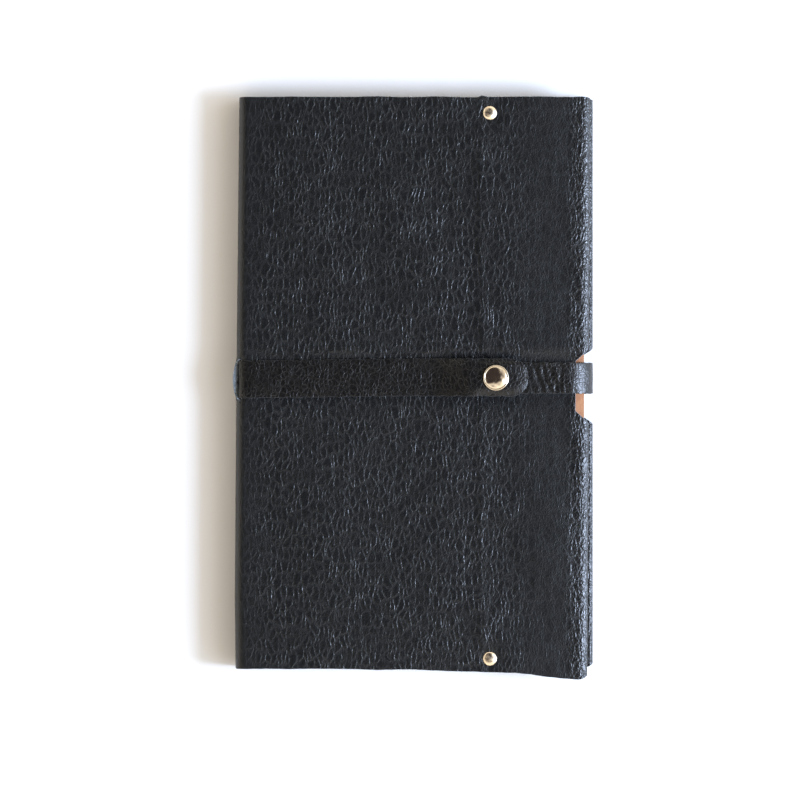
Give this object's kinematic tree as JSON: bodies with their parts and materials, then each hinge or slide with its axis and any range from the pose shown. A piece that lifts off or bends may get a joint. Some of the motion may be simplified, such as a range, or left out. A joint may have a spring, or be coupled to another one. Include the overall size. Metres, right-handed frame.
{
  "type": "leather notebook cover",
  "caption": "Soft black leather cover around a slim kraft notebook, closed by a leather belt with a snap that passes through notches in the folded fore edges.",
  "frame": {"origin": "under the middle of the closed cover, on the surface it lies on", "axes": "+X to the fore edge, +Y to the head of the page, +Z out of the front cover"},
  "size_m": [0.1386, 0.227, 0.0186],
  "materials": {
    "cover_leather": "soft pebbled black leather, low sheen",
    "belt_leather": "soft pebbled black leather, smoother than the cover",
    "pale_brass": "polished, pale gold plate",
    "kraft_card": "uncoated kraft card",
    "paper": "uncoated cream paper",
    "thread": "waxed linen thread"
  },
  "bodies": {
    "back": {"cover_back": "cover_leather", "strap_back": "belt_leather", "rivet_cap_back_head": "pale_brass", "rivet_cap_back_tail": "pale_brass", "rivet_post_back_head": "pale_brass", "rivet_post_back_tail": "pale_brass"},
    "notebook_back": {"notebook_card_back": "kraft_card", "notebook_leaves_back": "paper"},
    "spine": {"cover_spine": "cover_leather", "spine_bend_front": "cover_leather", "spine_bend_back": "cover_leather", "strap_spine": "belt_leather", "notebook_card_spine": "kraft_card", "notebook_fold": "paper", "notebook_thread": "thread"},
    "front": {"cover_front": "cover_leather", "strap_front": "belt_leather", "rivet_cap_front_head": "pale_brass", "rivet_cap_front_tail": "pale_brass", "rivet_post_front_head": "pale_brass", "rivet_post_front_tail": "pale_brass"},
    "notebook_front": {"notebook_card_front": "kraft_card", "notebook_leaves_front": "paper"},
    "strap_tab": {"strap_tab": "belt_leather", "snap_cap": "pale_brass", "snap_socket": "pale_brass"},
    "strap_wrap": {"strap_wrap": "belt_leather"},
    "strap_tongue": {"strap_tongue": "belt_leather", "snap_stud": "pale_brass", "snap_eyelet": "pale_brass"}
  },
  "joints": [
    {"name": "spine_fold", "type": "hinge", "parent": "back", "child": "spine", "pos_m": [-0.0681, 0, 0.0024], "axis": [0, -1, 0], "range_deg": [0, 90], "deforming": ["spine_bend_back", "strap_wrap", "strap_tongue", "snap_stud", "snap_eyelet"]},
    {"name": "front_fold", "type": "hinge", "parent": "spine", "child": "front", "pos_m": [-0.0681, 0, 0.011], "axis": [0, -1, 0], "range_deg": [0, 90], "deforming": ["spine_bend_front"]},
    {"name": "notebook_back_slide", "type": "slide", "parent": "back", "child": "notebook_back", "axis": [-1, 0, 0], "range_m": [0, 0.0053]},
    {"name": "notebook_front_slide", "type": "slide", "parent": "front", "child": "notebook_front", "axis": [-1, 0, 0], "range_m": [0, 0.0053]},
    {"name": "strap_unwrap", "type": "hinge", "parent": "back", "child": "strap_wrap", "pos_m": [0.0681, 0, 0.0012], "axis": [0, 1, 0], "range_deg": [0, 90]},
    {"name": "tongue_unroll", "type": "hinge", "parent": "strap_wrap", "child": "strap_tongue", "pos_m": [0.0681, 0, 0.0125], "axis": [0, 1, 0], "range_deg": [0, 90]},
    {"name": "snap_tab_lift", "type": "hinge", "parent": "front", "child": "strap_tab", "pos_m": [0.002, 0, 0.0134], "axis": [0, -1, 0], "range_deg": [0, 150]}
  ],
  "couplings": [
    {"joint": "front_fold", "follows": "spine_fold", "ratio": 1},
    {"joint": "notebook_back_slide", "follows": "spine_fold", "m_per_rad": 0.00337},
    {"joint": "notebook_front_slide", "follows": "spine_fold", "m_per_rad": 0.00337},
    {"joint": "strap_unwrap", "follows": "spine_fold", "ratio": 1},
    {"joint": "tongue_unroll", "follows": "spine_fold", "ratio": 1}
  ]
}
